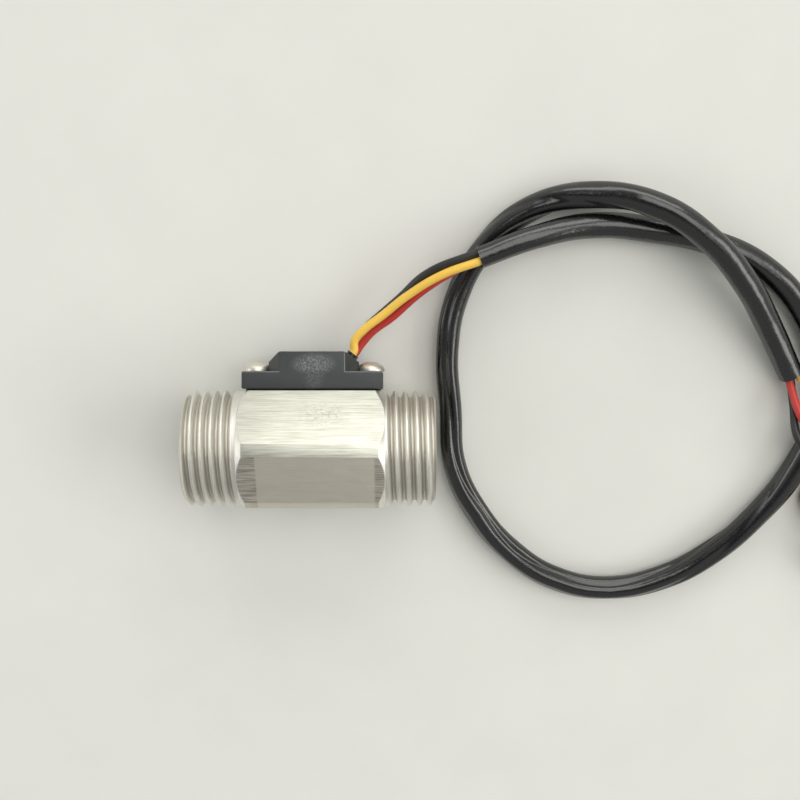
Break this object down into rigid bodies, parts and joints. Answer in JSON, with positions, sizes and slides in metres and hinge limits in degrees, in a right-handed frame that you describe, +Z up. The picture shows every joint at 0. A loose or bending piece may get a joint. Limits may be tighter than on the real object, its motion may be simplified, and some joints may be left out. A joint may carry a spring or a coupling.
{
  "type": "inline water flow sensor",
  "caption": "Stainless inline pipe sensor with male threaded ends, a hexagon body, a turbine rotor inside, a plastic sensor cap on one flat and a sleeved wire lead with a small plug.",
  "frame": {"origin": "middle of the sensor's footprint on the surface that it lies on, without its lead", "axes": "+X along the pipe from inlet to outlet, +Z up; the sensor lies on a corner of its hexagon and on its cap's lower edge, with the cap towards +Y"},
  "size_m": [0.1322, 0.0828, 0.0224],
  "materials": {
    "stainless": "brushed along the pipe",
    "natural_plastic": "moulded, satin",
    "bush_plastic": "moulded, smooth",
    "shaft_steel": "ground and polished",
    "magnet": "nickel plated",
    "spring_steel": "phosphated spring steel",
    "black_rubber": "matt",
    "cap_plastic": "moulded, satin",
    "board_green": "solder resist",
    "black_epoxy": "cast, glossy",
    "chip_tan": "ceramic",
    "chip_black": "ceramic",
    "screw_steel": "zinc plated",
    "yellow_pvc": "extruded, satin",
    "red_pvc": "extruded, satin",
    "black_pvc": "extruded, satin",
    "sleeve_pvc": "extruded, glossy",
    "plug_plastic": "moulded",
    "tinned_contact": "tinned, stamped"
  },
  "bodies": {
    "housing": {"body": "stainless", "inlet_guide": "natural_plastic", "front_bearing": "bush_plastic", "rear_support": "natural_plastic", "rear_bearing": "bush_plastic", "retaining_ring": "spring_steel", "gasket": "black_rubber", "sensor_housing": "cap_plastic", "circuit_board": "board_green", "hall_sensor": "black_epoxy", "capacitor": "chip_tan", "resistor": "chip_black", "potting": "black_epoxy", "wire_seal": "black_epoxy", "screw_left": "screw_steel", "screw_right": "screw_steel", "yellow_wire": "yellow_pvc", "red_wire": "red_pvc", "black_wire": "black_pvc", "cable_sleeve": "sleeve_pvc", "yellow_tail": "yellow_pvc", "red_tail": "red_pvc", "black_tail": "black_pvc", "connector_housing": "plug_plastic", "crimp_terminal_1": "tinned_contact", "crimp_terminal_2": "tinned_contact", "crimp_terminal_3": "tinned_contact"},
    "rotor": {"rotor": "natural_plastic", "rotor_shaft": "shaft_steel", "magnet_1": "magnet", "magnet_2": "magnet"}
  },
  "joints": [
    {"name": "rotor_spin", "type": "hinge", "parent": "housing", "child": "rotor", "pos_m": [0.0005, -0.0035, 0.01123], "axis": [1, 0, 0], "continuous": true}
  ]
}
